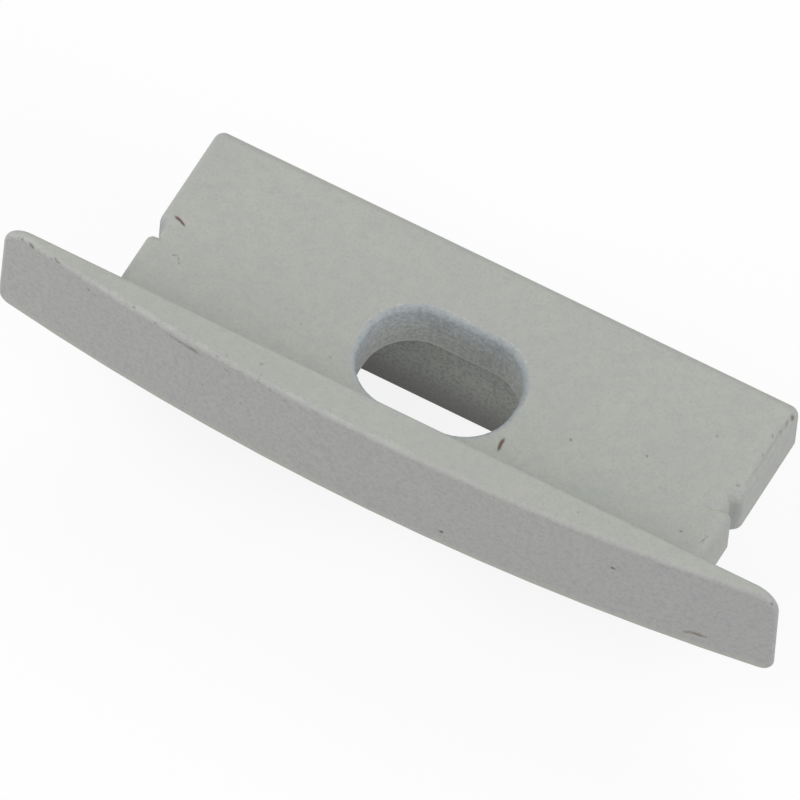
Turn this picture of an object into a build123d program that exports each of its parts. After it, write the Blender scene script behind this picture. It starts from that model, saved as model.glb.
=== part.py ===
"""End cap of a recessed light profile.

One moulding: a plate in the outline of the profile's body, with a cable slot, a bowed flange
that carries on the line of the profile's wings and cover, and a plug that enters its channel.

Millimetres. Z = 0 is the flat seat that bears on the profile's cut end, +Z points away from the
profile. Y = 0 is the back of the flange, X = 0 the plane of symmetry.
"""

import os
from math import radians, tan

from build123d import *

# Flange: straight at the back, bowed at the front, taller than the plate and longer at both ends
flange_length = 25.0
flange_height = 3.68
flange_edge = 0.24
flange_bow = 1.01
flange_end_draft = 1.0
flange_outer_corner = 0.78
flange_seat_corner = 0.4
flange_face_arris = 0.15
flange_back_arris = 0.12

# Body plate
body_width = 18.86
body_depth = 7.22
body_thickness = 1.65
body_rim = 0.38
body_corner = 0.28

# Groove down each side of the body, where the profile's clips run
groove_from_flange = 3.06
groove_depth = 0.28
groove_floor = 0.34
groove_slope_run = 0.22
groove_front_round = 0.2
groove_rear_round = 0.34

# Cable slot
slot_length = 4.84
slot_width = 3.46
slot_end_flat = 0.34
slot_from_flange = 1.26
slot_arris = 0.2

# Plug: a wall that follows the inside of the profile's channel, open towards the flange
profile_base = 1.08
profile_side = 1.25
plug_clearance = 0.05
plug_wall = 1.1
plug_depth = 3.45
plug_from_flange = 2.0
plug_bend = 0.8
plug_end_round = 0.3
plug_draft = 1.0

half_flange = flange_length / 2
flange_end_lean = flange_height * tan(radians(flange_end_draft))
half_body = body_width / 2
groove_floor_line = half_body - groove_depth
groove_rear = groove_from_flange + groove_floor
groove_lip = groove_rear + groove_slope_run
slot_centre = slot_from_flange + slot_width / 2
slot_corner = (slot_width - slot_end_flat) / 2
plug_half_span = half_body - profile_side - plug_clearance - plug_wall / 2
plug_back_line = body_depth - profile_base - plug_clearance - plug_wall / 2

# Flange: its bowed section run up to full height, then cut to its face outline
with BuildPart() as flange:
    with BuildSketch(Plane.XY):
        with BuildLine():
            back = Line((-half_flange, 0), (half_flange, 0))
            edge = Line(back @ 1, (half_flange, -flange_edge))
            bow_middle = (0, -flange_edge - flange_bow)
            bow = ThreePointArc(edge @ 1, bow_middle, (-half_flange, -flange_edge))
            Line(bow @ 1, back @ 0)
        make_face()
    extrude(amount=flange_height)
    with BuildSketch(Plane.XZ):
        with BuildLine():
            seat = Line((-half_flange, 0), (half_flange, 0))
            right_end = Line(seat @ 1, (half_flange - flange_end_lean, flange_height))
            crest = Line(right_end @ 1, (flange_end_lean - half_flange, flange_height))
            Line(crest @ 1, seat @ 0)
        make_face()
        fillet(vertices().group_by(Axis.Y)[-1], flange_outer_corner)
        fillet(vertices().group_by(Axis.Y)[0], flange_seat_corner)
    extrude(amount=flange_edge + 2 * flange_bow, both=True, mode=Mode.INTERSECT)
    bowed_face = faces().filter_by(GeomType.CYLINDER).sort_by(SortBy.AREA)[-1]
    fillet(bowed_face.edges(), flange_face_arris)
    fillet(faces().sort_by(Axis.Y)[-1].edges(), flange_back_arris)

with BuildPart() as end_cap:
    # Body plate: half of its outline with the groove, mirrored; it starts inside the flange
    with BuildSketch(Plane.XY):
        with BuildLine():
            Polyline(
                (0, -flange_edge),
                (half_body, -flange_edge),
                (half_body, groove_from_flange),
                (groove_floor_line, groove_from_flange),
                (groove_floor_line, groove_rear),
                (half_body, groove_lip),
                (half_body, body_depth),
                (0, body_depth),
            )
            mirror(about=Plane.YZ)
        make_face()
    extrude(amount=body_thickness)

    # A soft outer rim, all round but for the side inside the flange, and soft upright corners
    rim = faces().sort_by(Axis.Z)[-1].edges().filter_by(lambda e: (e @ 0.5).Y > 0)
    fillet(rim, body_rim)
    sides = edges().filter_by(Axis.Z).group_by(lambda e: round(abs(e.center().X), 4))[-1]
    front_lips, rear_lips, rear_corners = sides.group_by(Axis.Y)[-3:]
    fillet(front_lips, groove_front_round)
    fillet(rear_lips, groove_rear_round)
    fillet(rear_corners, body_corner)

    # Cable slot, with a soft outer edge
    with BuildSketch(Plane.XY.offset(body_thickness)):
        with Locations((0, slot_centre)):
            RectangleRounded(slot_length, slot_width, slot_corner)
    extrude(amount=-body_thickness, mode=Mode.SUBTRACT)
    plate_face = faces().filter_by(Plane.XY).sort_by(Axis.Z)[-1]
    fillet(plate_face.inner_wires()[0].edges(), slot_arris)

    add(flange.part)

    # Plug: a wall of even thickness along a bent centre line, with the moulding's draft
    with BuildSketch(Plane.XY):
        with BuildLine():
            FilletPolyline(
                (-plug_half_span, plug_from_flange),
                (-plug_half_span, plug_back_line),
                (plug_half_span, plug_back_line),
                (plug_half_span, plug_from_flange),
                radius=plug_bend,
            )
        trace(line_width=plug_wall)
        fillet(vertices().group_by(Axis.Y)[0], plug_end_round)
    extrude(amount=-plug_depth, taper=plug_draft)

end_cap.part.label = "end_cap"
os.makedirs("parts", exist_ok=True)
export_step(end_cap.part, "parts/end_cap.step")
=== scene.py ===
"""End cap of a recessed light profile: one moulding in silver-grey ABS, on a white table."""

from math import radians

import bmesh
import bpy
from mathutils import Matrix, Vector


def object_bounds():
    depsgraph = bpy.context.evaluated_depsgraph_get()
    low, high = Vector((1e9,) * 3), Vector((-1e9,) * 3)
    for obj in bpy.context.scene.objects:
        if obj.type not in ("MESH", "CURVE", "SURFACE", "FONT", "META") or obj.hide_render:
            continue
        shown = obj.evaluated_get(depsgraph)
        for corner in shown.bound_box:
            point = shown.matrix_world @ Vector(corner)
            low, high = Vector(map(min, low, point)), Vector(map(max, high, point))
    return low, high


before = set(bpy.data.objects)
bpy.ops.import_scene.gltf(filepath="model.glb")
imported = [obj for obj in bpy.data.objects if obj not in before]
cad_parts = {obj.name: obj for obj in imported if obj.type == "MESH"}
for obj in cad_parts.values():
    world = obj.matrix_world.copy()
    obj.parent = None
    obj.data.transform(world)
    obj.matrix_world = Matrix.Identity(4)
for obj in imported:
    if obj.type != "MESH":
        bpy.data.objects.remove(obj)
cad_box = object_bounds()

MM = 0.001

# The part's own sizes that its wear follows, in mm
FLANGE_LENGTH = 25.0
FLANGE_HEIGHT = 3.68
FLANGE_EDGE = 0.24
FLANGE_BOW = 1.01
FLANGE_BOW_RADIUS = ((FLANGE_LENGTH / 2) ** 2 + FLANGE_BOW**2) / (2 * FLANGE_BOW)
PLATE_TOP = 1.65
PLATE_MIDDLE = (0, 3, 0)
SLOT_MIDDLE = 2.99
SLOT_LENGTH = 4.84
SLOT_WIDTH = 3.46
SLOT_CORNER = 1.56
PLUG_INSIDE_HALF_LENGTH = 7.03
PLUG_INSIDE_REAR = 4.99

# The plastic's colour and shine, its pits in mm, and the pits of the tool's core in pit depths
BARE_PLASTIC = "#B0B2AA"
PLASTIC_ROUGHNESS = 0.62
PLASTIC_IOR = 1.53
PIT_DEPTH = 0.004
CORE_PIT_DEPTHS = 3.0

# Its wear, in mm: the ragged edges, the middle of the rub behind the bowed face, and the specks
RAGGED_SIZE = 0.12
RAGGED_REACH = 0.035
RUB_BEHIND_FACE = 0.12
SPECK_SPACING = 0.9

# A stray mark's cover fades from one share of its half width to the other
MARK_CORE = 0.35
MARK_END = 1.3

# The table: half its side in m, its gap under the plug in mm, and how much of its white is glow
TABLE_HALF_SIDE = 2.0
TABLE_GAP = 0.01
TABLE_GLOW = 0.86

# What noise draws on the plastic: how large its lumps are in mm, its detail and its roughness
LUMPS = {
    "pits": (0.07, 2.0, 0.7),
    "core_pits": (0.12, 2.5, 0.8),
    "grime": (0.13, 3.0, 0.7),
    "blotches": (0.3, 3.0, 0.65),
    "clouds": (3.5, 2.0, 0.5),
    "rub": (0.13, 3.0, 0.7),
    "rub_runs": (0.7, 2.0, 0.5),
}

# What lies on the bare plastic, and the light and shade painted on it, one over the other: a
# colour, how deep it cuts in pit depths, and the fades whose product is its cover. A fade is a
# field of the surface, the two values of the field that it runs between, and the cover at each of
# them.
LAYERS = [
    # Cooler blotches and slow clouds in the pigment
    ("#AAACA8", 0, [("blotches", 0.35, 0.7, 0.0, 1.0)]),
    ("#A9ABA7", 0, [("clouds", 0.4, 0.65, 0.0, 0.4)]),
    # Dirt in the pits, and inside the plug darker coarse pits, partly grain and partly painted
    # shade
    ("#8B8E8D", 0, [("pits", 0.25, 0.55, 0.34, 0.0)]),
    ("#5E605B", 0, [("core_pits", 0.36, 0.56, 0.48, 0.0), ("inside_plug", 0.0, 1.0, 0.0, 1.0)]),
    # Painted shade inside the plug, darkest at its mouth
    ("#5E5F5A", 0, [("z", -3.5, -1.3, 0.85, 0.0), ("inside_plug", 0.0, 1.0, 0.0, 1.0)]),
    # The bowed face, which hands touch, is mottled; its greyer tint is painted light, and the
    # paler, greener band at its foot is painted light from the table
    ("#B7B6B3", 0, [("behind_face", 0.02, 0.15, 0.5, 0.0)]),
    ("#989999", 0, [("behind_face", 0.02, 0.15, 1.0, 0.0), ("grime", 0.42, 0.66, 0.0, 0.5)]),
    ("#B9BBAE", 0, [("behind_face", 0.02, 0.15, 1.0, 0.0), ("z", 0.12, 0.42, 0.7, 0.0)]),
    # Soil in the grain of the plate where it nears the flange, and painted shade of the flange
    # over it
    (
        "#8D9698",
        0,
        [
            ("y", 1.3, 2.5, 0.15, 0.0),
            ("y", -0.03, 0.0, 0.0, 1.0),
            ("z", PLATE_TOP - 0.1, PLATE_TOP + 0.2, 1.0, 0.0),
            ("z", 0.1, 0.3, 0.0, 1.0),
            ("grime", 0.35, 0.55, 1.0, 0.0),
        ],
    ),
    # The rub on the upper arris, which fades out to the right of the slot, and dirty nicks in it
    ("#CBCEC8", 0, [("rubbed", -0.02, 0.05, 0.0, 0.3), ("x", 0.0, 1.6, 1.0, 0.15)]),
    (
        "#6E7068",
        2,
        [
            ("grime", 0.64, 0.7, 0.0, 0.55),
            ("from_arris", 0.08, 0.3, 1.0, 0.0),
            ("x", -3.0, 3.0, 1.0, 0.35),
        ],
    ),
    # The slot's wall has dark pits and pale grains; painted shade in a cool tint makes it bluer
    # near the top and darkens its rounded rim
    ("#A4AEB7", 0, [("from_slot", 0.1, 0.2, 0.5, 0.0), ("z", 0.5, 1.4, 0.0, 1.0)]),
    (
        "#6E7477",
        0,
        [
            ("from_slot", 0.08, 0.2, 1.0, 0.0),
            ("z", 0.0, 0.1, 0.0, 1.0),
            ("core_pits", 0.36, 0.5, 0.33, 0.0),
        ],
    ),
    (
        "#D0D4D3",
        0,
        [
            ("from_slot", 0.0, 0.08, 1.0, 0.0),
            ("z", 0.0, 0.1, 0.0, 1.0),
            ("core_pits", 0.5, 0.64, 0.0, 0.4),
        ],
    ),
    # The rear of the slot's rim is stippled, and a pale hair runs round its foot
    (
        "#D2D5CE",
        0,
        [
            ("from_slot", 0.12, 0.17, 0.0, 1.0),
            ("from_slot", 0.18, 0.26, 1.0, 0.0),
            ("y", SLOT_MIDDLE - 0.5, SLOT_MIDDLE + 1.0, 0.0, 1.0),
            ("rub", 0.52, 0.62, 0.0, 0.35),
        ],
    ),
    ("#C9CCC8", 0, [("from_slot", 0.01, 0.05, 1.0, 0.0), ("z", 0.03, 0.12, 0.45, 0.0)]),
    # Painted shade that dulls the flange's top a little
    ("#A2A399", 0, [("z", FLANGE_HEIGHT - 0.3, FLANGE_HEIGHT, 0.0, 0.18)]),
    # Specks
    ("#66685F", 0, [("from_speck", 0.03, 0.055, 0.5, 0.0), ("speck_chance", 0.6, 0.95, 0.0, 1.0)]),
]

# Brown fibres on the plate: both ends and the width in mm, the colour, and its cover
FIBRES = [
    ((-8.98, 3.79, 1.65), (-8.80, 3.74, 1.65), 0.11, "#5C3C32", 0.95),
    ((-8.83, 3.75, 1.65), (-8.63, 3.65, 1.65), 0.09, "#5C3C32", 0.95),
    ((2.66, 1.86, 1.65), (2.66, 1.66, 1.65), 0.13, "#58422F", 0.95),
    ((2.66, 1.70, 1.65), (2.70, 1.48, 1.65), 0.12, "#58422F", 0.95),
]

# Other stray marks, listed in the same way
MARKS = [
    # A curved scrape and small dots on the plate
    ((-8.49, 2.58, 1.65), (-8.32, 2.66, 1.65), 0.05, "#84857A", 0.8),
    ((-8.32, 2.66, 1.65), (-8.12, 2.42, 1.65), 0.06, "#7C7D72", 0.8),
    ((-2.93, 1.82, 1.65), (-2.90, 1.82, 1.65), 0.10, "#94928A", 0.8),
    ((-4.17, 2.38, 1.65), (-4.15, 2.38, 1.65), 0.08, "#90938F", 0.7),
    ((4.30, 2.82, 1.65), (4.32, 2.82, 1.65), 0.10, "#787A74", 0.8),
    ((6.42, 3.44, 1.65), (6.44, 3.44, 1.65), 0.09, "#7F807A", 0.8),
    ((7.84, 5.06, 1.65), (7.85, 5.07, 1.65), 0.10, "#8D8C88", 0.8),
    ((8.45, 1.69, 1.65), (8.48, 1.69, 1.65), 0.10, "#77786F", 0.8),
    ((9.12, 3.88, 1.65), (9.12, 3.90, 1.65), 0.10, "#8C8D87", 0.8),
    ((9.22, 2.02, 1.65), (9.13, 1.66, 1.65), 0.07, "#73756C", 0.8),
    ((9.10, 1.95, 1.65), (9.22, 1.84, 1.65), 0.06, "#7A7B72", 0.7),
    ((9.28, 1.42, 1.65), (9.33, 1.34, 1.65), 0.08, "#858679", 0.7),
    ((8.81, 2.76, 1.65), (8.81, 2.79, 1.65), 0.12, "#A69F88", 0.6),
    # Grey-green smears in the angle between plate and flange
    ((-6.30, 2.74, 1.65), (-6.08, 2.72, 1.65), 0.12, "#98AEA5", 0.3),
    ((-5.95, 2.34, 1.65), (-5.62, 2.30, 1.65), 0.10, "#94ABA3", 0.3),
    ((-3.50, 1.50, 1.65), (-3.25, 1.42, 1.65), 0.14, "#97A79F", 0.3),
    ((5.05, 1.48, 1.65), (5.35, 1.42, 1.65), 0.20, "#8FA69D", 0.3),
    ((5.50, 1.68, 1.65), (5.78, 1.58, 1.65), 0.18, "#8FA69D", 0.3),
    # Specks along the plate's right rim, and its corner
    ((9.33, 6.80, 1.53), (9.36, 6.76, 1.49), 0.15, "#6C6058", 0.9),
    ((9.30, 6.55, 1.56), (9.33, 6.45, 1.53), 0.10, "#7C7870", 0.7),
    ((9.28, 6.20, 1.57), (9.30, 6.12, 1.56), 0.08, "#7E7B72", 0.7),
    ((9.16, 5.90, 1.63), (9.19, 5.84, 1.62), 0.08, "#85837B", 0.7),
    ((9.22, 5.22, 1.61), (9.24, 5.14, 1.60), 0.08, "#85837B", 0.6),
    ((9.43, 5.92, 0.27), (9.43, 5.88, 0.25), 0.10, "#77756F", 0.8),
    # A darker line just under the top of the plate's right rim
    ((9.30, 6.85, 1.56), (9.30, 5.2, 1.56), 0.16, "#8E9089", 0.35),
    ((9.30, 5.6, 1.56), (9.30, 4.1, 1.56), 0.14, "#8E9089", 0.3),
    # Painted shade on the rear walls of the two grooves, and a painted highlight on the right
    # one's top edge
    ((9.32, 3.52, 1.25), (9.34, 3.56, 0.45), 0.38, "#8B9094", 0.25),
    ((9.30, 3.52, 1.58), (9.32, 3.62, 1.62), 0.16, "#C8CDCB", 0.6),
    ((-9.30, 3.55, 1.60), (-9.36, 3.62, 0.9), 0.36, "#8F97A2", 0.45),
    # A scratch across the flange's top
    ((-3.95, -0.64, 3.68), (-3.93, -0.60, 3.68), 0.11, "#86867C", 0.8),
    ((-3.95, -0.60, 3.68), (-4.06, -0.20, 3.68), 0.03, "#95968E", 0.6),
    # Nicks and a long scuff along the upper edge of the bowed face
    ((-11.87, -0.33, 3.66), (-11.80, -0.33, 3.60), 0.11, "#74756C", 0.8),
    ((-11.56, -0.36, 3.66), (-11.42, -0.38, 3.58), 0.11, "#6F7067", 0.85),
    ((-10.72, -0.45, 3.66), (-10.45, -0.48, 3.60), 0.09, "#73746A", 0.8),
    ((-10.45, -0.52, 3.58), (-10.30, -0.54, 3.55), 0.06, "#7C7D74", 0.7),
    ((-9.48, -0.67, 3.33), (-9.42, -0.67, 3.27), 0.10, "#74756C", 0.8),
    ((-9.28, -0.70, 3.26), (-9.25, -0.70, 3.24), 0.07, "#7C7D74", 0.7),
    ((-7.99, -0.75, 3.66), (-7.88, -0.77, 3.62), 0.08, "#7C7D72", 0.8),
    ((-7.30, -0.89, 3.64), (-7.15, -0.90, 3.60), 0.07, "#80817A", 0.7),
    ((-6.95, -0.94, 3.50), (-6.30, -1.00, 3.44), 0.07, "#7C7D74", 0.6),
    ((-6.45, -0.99, 3.46), (-5.62, -1.05, 3.35), 0.15, "#7C7D74", 0.6),
    ((-5.98, -1.02, 3.46), (-5.80, -1.04, 3.41), 0.13, "#6C6D64", 0.4),
    ((-4.88, -1.09, 3.38), (-4.72, -1.10, 3.30), 0.08, "#85868B", 0.6),
    ((-3.80, -1.15, 3.62), (-3.68, -1.16, 3.58), 0.08, "#7F807A", 0.7),
    ((-3.40, -1.18, 3.56), (-3.28, -1.18, 3.50), 0.07, "#84857F", 0.6),
    ((-2.92, -1.20, 3.38), (-2.82, -1.20, 3.32), 0.09, "#85868A", 0.6),
    # Dots and a brown rub on the bowed face
    ((2.36, -1.21, 0.69), (2.39, -1.21, 0.69), 0.14, "#4C473C", 0.9),
    ((7.58, -0.88, 2.45), (7.61, -0.87, 2.45), 0.12, "#5C5A50", 0.9),
    ((12.30, -0.27, 3.42), (12.33, -0.26, 3.35), 0.17, "#4F4E44", 0.9),
    ((9.98, -0.61, 0.70), (10.50, -0.54, 0.72), 0.17, "#77685A", 0.75),
    ((9.86, -0.62, 0.62), (10.02, -0.60, 0.60), 0.10, "#6C5E50", 0.6),
]

def mm(*lengths):
    return Vector([length * MM for length in lengths])


def hex_colour(code):
    """An sRGB hex colour as the linear values that shaders take."""
    channels = [int(code[i : i + 2], 16) / 255 for i in (1, 3, 5)]
    linear = [c / 12.92 if c <= 0.04045 else ((c + 0.055) / 1.055) ** 2.4 for c in channels]
    return (*linear, 1.0)


def add_node(tree, kind, inputs=(), **settings):
    """Adds a node, sets it up, fills its inputs with values or links, and gives its outputs."""
    node = tree.nodes.new("ShaderNode" + kind)
    for name, value in settings.items():
        setattr(node, name, value)
    for key, value in inputs.items() if isinstance(inputs, dict) else enumerate(inputs):
        if isinstance(value, bpy.types.NodeSocket):
            tree.links.new(value, node.inputs[key])
        else:
            node.inputs[key].default_value = value
    return node.outputs


def surface_fields(tree):
    """What the plastic's look follows: the object's own place, distances in mm, and noise."""
    metres = add_node(tree, "TexCoord")["Object"]
    place = add_node(tree, "Mapping", {"Vector": metres, "Scale": (1 / MM,) * 3})[0]
    x, y, z = add_node(tree, "SeparateXYZ", [place])
    fields = {"place": place, "x": x, "y": y, "z": z}
    for name, (size, detail, roughness) in LUMPS.items():
        inputs = {"Vector": place, "Scale": 1 / size, "Detail": detail, "Roughness": roughness}
        fields[name] = add_node(tree, "TexNoise", inputs)["Fac"]

    # The same place with ragged edges, for what was rubbed or soiled
    shake = {"Vector": place, "Scale": 1 / RAGGED_SIZE}
    shake = add_node(tree, "TexNoise", shake, normalize=False)["Color"]
    ragged = [shake, (RAGGED_REACH,) * 3, place]
    ragged = add_node(tree, "VectorMath", ragged, operation="MULTIPLY_ADD")[0]
    fields["ragged"] = ragged

    # How far a point lies behind the flange's bowed face, and from that face's upper arris
    plan = add_node(tree, "CombineXYZ", [x, y])[0]
    bow_middle = (0, FLANGE_BOW_RADIUS - FLANGE_EDGE - FLANGE_BOW, 0)
    out = add_node(tree, "VectorMath", [plan, bow_middle], operation="DISTANCE")["Value"]
    behind = add_node(tree, "Math", [FLANGE_BOW_RADIUS, out], operation="SUBTRACT")[0]
    section = add_node(tree, "CombineXYZ", [behind, z])[0]
    arris = [section, (RUB_BEHIND_FACE, FLANGE_HEIGHT, 0)]
    from_arris = add_node(tree, "VectorMath", arris, operation="DISTANCE")["Value"]
    fields["behind_face"] = behind
    fields["from_arris"] = from_arris

    # The arris is rubbed in ragged runs: how far the rub reaches, less the way to the arris
    reach = [fields["rub"], 0.35, 0.65, -0.06, 0.05]
    reach = add_node(tree, "MapRange", reach, interpolation_type="SMOOTHSTEP")[0]
    runs = [fields["rub_runs"], 0.4, 0.62, 0.0, 0.1]
    runs = add_node(tree, "MapRange", runs, interpolation_type="SMOOTHSTEP")[0]
    reach = add_node(tree, "Math", [reach, runs], operation="ADD")[0]
    fields["rubbed"] = add_node(tree, "Math", [reach, from_arris], operation="SUBTRACT")[0]

    # How far a point lies outside the slot's outline
    slot = [plan, (0, SLOT_MIDDLE, 0)]
    slot = add_node(tree, "VectorMath", slot, operation="SUBTRACT")[0]
    slot = add_node(tree, "VectorMath", [slot], operation="ABSOLUTE")[0]
    corner = (SLOT_LENGTH / 2 - SLOT_CORNER, SLOT_WIDTH / 2 - SLOT_CORNER, 0)
    slot = add_node(tree, "VectorMath", [slot, corner], operation="SUBTRACT")[0]
    slot = add_node(tree, "VectorMath", [slot, (0, 0, 0)], operation="MAXIMUM")[0]
    slot = add_node(tree, "VectorMath", [slot], operation="LENGTH")["Value"]
    fields["from_slot"] = add_node(tree, "Math", [slot, SLOT_CORNER], operation="SUBTRACT")[0]

    # 1 inside the plug and 0 on every other face
    across = add_node(tree, "Math", [x], operation="ABSOLUTE")[0]
    inside = add_node(tree, "MapRange", [z, -0.05, 0.0, 1.0, 0.0])[0]
    for value, edge in ((across, PLUG_INSIDE_HALF_LENGTH), (y, PLUG_INSIDE_REAR)):
        within = add_node(tree, "MapRange", [value, edge + 0.15, edge + 0.35, 1.0, 0.0])[0]
        inside = add_node(tree, "Math", [inside, within], operation="MULTIPLY")[0]
    fields["inside_plug"] = inside

    # Specks lie far apart, and are not all as dark
    cells = add_node(tree, "TexVoronoi", {"Vector": ragged, "Scale": 1 / SPECK_SPACING})
    fields["from_speck"] = cells["Distance"]
    fields["speck_chance"] = add_node(tree, "SeparateColor", [cells["Color"]])[0]
    return fields


# Silver-grey ABS from a spark-eroded tool. The tool's sparks leave a dull pebble of pits about
# 0.07 mm across, so the surface has no gloss, and a light that grazes it picks out every grain.
# Rubbing turns the pigment pale on the arrises, and dirt stays in the pits and the small nicks.
def silver_grey_abs():
    material = bpy.data.materials.new("silver_grey_abs_spark_eroded")
    material.use_nodes = True
    tree = material.node_tree
    tree.nodes.clear()

    fields = surface_fields(tree)
    layers = []
    for code, depth, fades in LAYERS:
        layers.append((code, depth, [(fields[name], *fade) for name, *fade in fades]))

    # Each stray mark is a lozenge between its two ends; all but the fibres have ragged edges
    for place, marks in ((fields["place"], FIBRES), (fields["ragged"], MARKS)):
        for start, end, width, code, cover in marks:
            run = Vector(end) - Vector(start)
            inputs = {
                "Vector": place,
                "Location": (Vector(start) + Vector(end)) / 2,
                "Rotation": run.to_track_quat("X", "Z").to_euler(),
                "Scale": ((run.length + width) / 2, width / 2, width / 2),
            }
            own = add_node(tree, "Mapping", inputs, vector_type="TEXTURE")[0]
            far = add_node(tree, "VectorMath", [own], operation="LENGTH")["Value"]
            layers.append((code, 0, [(far, MARK_CORE, MARK_END, cover, 0.0)]))

    # The faces inside the plug come from the tool's core, which was sparked coarser
    coarse = [fields["inside_plug"], 0.0, 1.0, 1.0, CORE_PIT_DEPTHS]
    coarse = add_node(tree, "MapRange", coarse)[0]
    height = add_node(tree, "Math", [fields["pits"], coarse], operation="MULTIPLY")[0]
    colour = hex_colour(BARE_PLASTIC)
    for code, depth, fades in layers:
        cover = 1.0
        for fade in fades:
            part = add_node(tree, "MapRange", fade, interpolation_type="SMOOTHSTEP")[0]
            cover = add_node(tree, "Math", [cover, part], operation="MULTIPLY")[0]
        mixed = {0: cover, 6: colour, 7: hex_colour(code)}
        colour = add_node(tree, "Mix", mixed, data_type="RGBA")[2]
        if depth:
            cut = [cover, -depth, height]
            height = add_node(tree, "Math", cut, operation="MULTIPLY_ADD")[0]

    bump = {"Strength": 1.0, "Distance": PIT_DEPTH * MM, "Height": height}
    bump = add_node(tree, "Bump", bump)[0]
    plastic = {"Base Color": colour, "Roughness": PLASTIC_ROUGHNESS, "IOR": PLASTIC_IOR}
    plastic = add_node(tree, "BsdfPrincipled", {**plastic, "Normal": bump})[0]
    add_node(tree, "OutputMaterial", [plastic])
    return material


def camera_sees(tree):
    """1 for a ray that shows the scene to the eye, 0 for one that only brings light."""
    path = add_node(tree, "LightPath")
    seen = [path["Is Camera Ray"], path["Is Glossy Ray"]]
    seen = add_node(tree, "Math", seen, operation="MAXIMUM")[0]
    seen = [seen, path["Is Transmission Ray"]]
    return add_node(tree, "Math", seen, operation="MAXIMUM")[0]


def white_table():
    """A matt white table under the plug; the eye sees it as white with a light shadow."""
    bm = bmesh.new()
    bmesh.ops.create_grid(bm, x_segments=1, y_segments=1, size=TABLE_HALF_SIDE)
    bmesh.ops.translate(bm, vec=(0, 0, cad_box[0].z - TABLE_GAP * MM), verts=bm.verts)
    mesh = bpy.data.meshes.new("table")
    bm.to_mesh(mesh)
    bm.free()
    table = bpy.data.objects.new("table", mesh)
    bpy.context.scene.collection.objects.link(table)

    material = bpy.data.materials.new("white_table_laminate")
    material.use_nodes = True
    tree = material.node_tree
    tree.nodes.clear()
    matt = add_node(tree, "BsdfDiffuse", {"Color": hex_colour("#B4B4B4")})[0]
    bright = add_node(tree, "BsdfDiffuse", {"Color": hex_colour("#FFFFFF")})[0]
    glow = add_node(tree, "Emission", {"Color": hex_colour("#FFFFFF"), "Strength": 1.0})[0]
    shown = add_node(tree, "MixShader", [TABLE_GLOW, bright, glow])[0]
    surface = add_node(tree, "MixShader", [camera_sees(tree), matt, shown])[0]
    add_node(tree, "OutputMaterial", [surface])
    mesh.materials.append(material)


def light_tent():
    """An even tent of bluish-white cloth all round, which the eye sees as plain white."""
    world = bpy.data.worlds.new("light_tent")
    world.use_nodes = True
    tree = world.node_tree
    tree.nodes.clear()
    cloth = add_node(tree, "Background", {"Color": hex_colour("#EDF0F8"), "Strength": 0.529})[0]
    backdrop = add_node(tree, "Background", {"Color": hex_colour("#FFFFFF"), "Strength": 1.0})[0]
    both = add_node(tree, "MixShader", [camera_sees(tree), cloth, backdrop])[0]
    add_node(tree, "OutputWorld", [both])
    bpy.context.scene.world = world


def softbox(name, place, side, power, colour):
    """A square softbox that faces the middle of the plate."""
    lamp = bpy.data.lights.new(name, "AREA")
    lamp.size = side * MM
    lamp.energy = power
    lamp.color = hex_colour(colour)[:3]
    holder = bpy.data.objects.new(name, lamp)
    holder.location = mm(*place)
    facing = mm(*PLATE_MIDDLE) - holder.location
    holder.rotation_euler = facing.to_track_quat("-Z", "Y").to_euler()
    bpy.context.scene.collection.objects.link(holder)


def photo_camera():
    """Stands where the photograph was taken: 24 degrees to the right, 56 above, long lens."""
    camera = bpy.data.objects.new("photo_camera", bpy.data.cameras.new("photo_camera"))
    camera.data.sensor_width = 36
    camera.data.lens = 1236.1
    camera.location = mm(171.41, -394.25, 649.46)
    camera.rotation_euler = [radians(a) for a in (33.526, -3.294, 28.435)]
    bpy.context.scene.collection.objects.link(camera)
    bpy.context.scene.camera = camera


end_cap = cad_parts["end_cap"]
end_cap.data.materials.clear()
end_cap.data.materials.append(silver_grey_abs())

white_table()
light_tent()
softbox("overhead_softbox", (-30, 190, 220), 220, 0.2, "#FFFBEE")
softbox("front_softbox", (-160, -140, 280), 180, 0.26, "#FFFDF6")
softbox("left_softbox", (-290, -150, 40), 160, 0.51, "#FFFCFF")
softbox("right_softbox", (280, -60, 120), 160, 0.38, "#FFFCFF")
photo_camera()
bpy.context.scene.view_settings.view_transform = "Standard"
